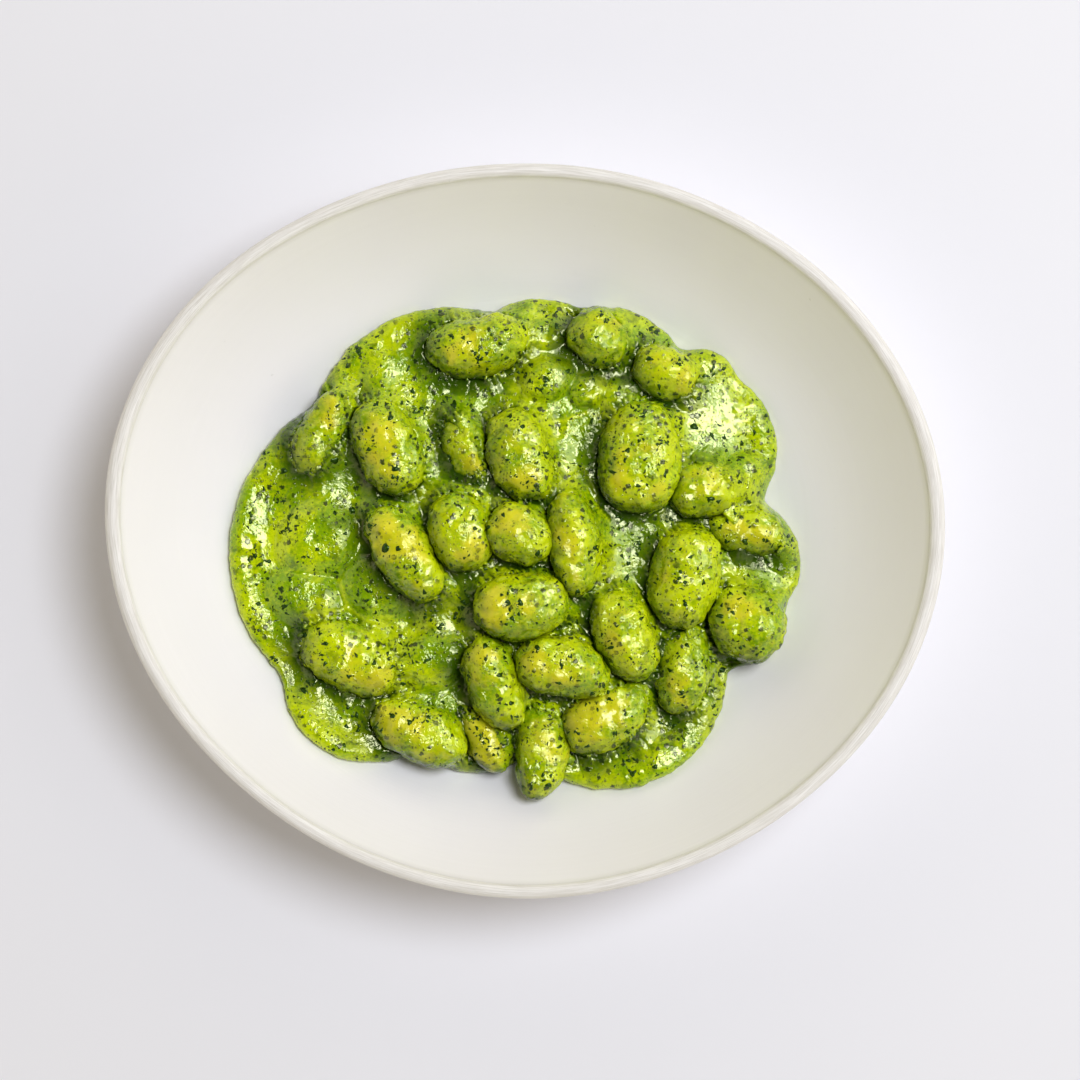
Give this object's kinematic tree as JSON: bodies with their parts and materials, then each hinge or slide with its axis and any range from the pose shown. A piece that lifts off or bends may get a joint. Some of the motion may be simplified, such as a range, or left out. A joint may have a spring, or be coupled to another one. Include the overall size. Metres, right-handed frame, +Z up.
{
  "type": "potato gnocchi in a bowl",
  "caption": "Potato gnocchi coated in green basil sauce, heaped in an oval hand-made coupe bowl with a rounded rim and a low foot ring.",
  "frame": {"origin": "middle of the bowl's box, on the surface that the foot ring stands on", "axes": "+X along the bowl's long way, +Y across it, +Z up"},
  "size_m": [0.261, 0.2284, 0.048],
  "materials": {
    "glaze": "off-white satin glaze, matte brushed rim with fine dark specks",
    "basil_sauce": "wet green basil sauce with dark leaf flecks",
    "potato_dough": "soft yellow potato dough under a thin glossy film of sauce"
  },
  "bodies": {
    "root": {"bowl": "glaze", "pesto_sauce": "basil_sauce", "gnocco_01": "potato_dough", "gnocco_02": "potato_dough", "gnocco_03": "potato_dough", "gnocco_04": "potato_dough", "gnocco_05": "potato_dough", "gnocco_06": "potato_dough", "gnocco_07": "potato_dough", "gnocco_08": "potato_dough", "gnocco_09": "potato_dough", "gnocco_10": "potato_dough", "gnocco_11": "potato_dough", "gnocco_12": "potato_dough", "gnocco_13": "potato_dough", "gnocco_14": "potato_dough", "gnocco_15": "potato_dough", "gnocco_16": "potato_dough", "gnocco_17": "potato_dough", "gnocco_18": "potato_dough", "gnocco_19": "potato_dough", "gnocco_20": "potato_dough", "gnocco_21": "potato_dough", "gnocco_22": "potato_dough", "gnocco_23": "potato_dough", "gnocco_24": "potato_dough", "gnocco_25": "potato_dough", "gnocco_26": "potato_dough"}
  },
  "joints": []
}
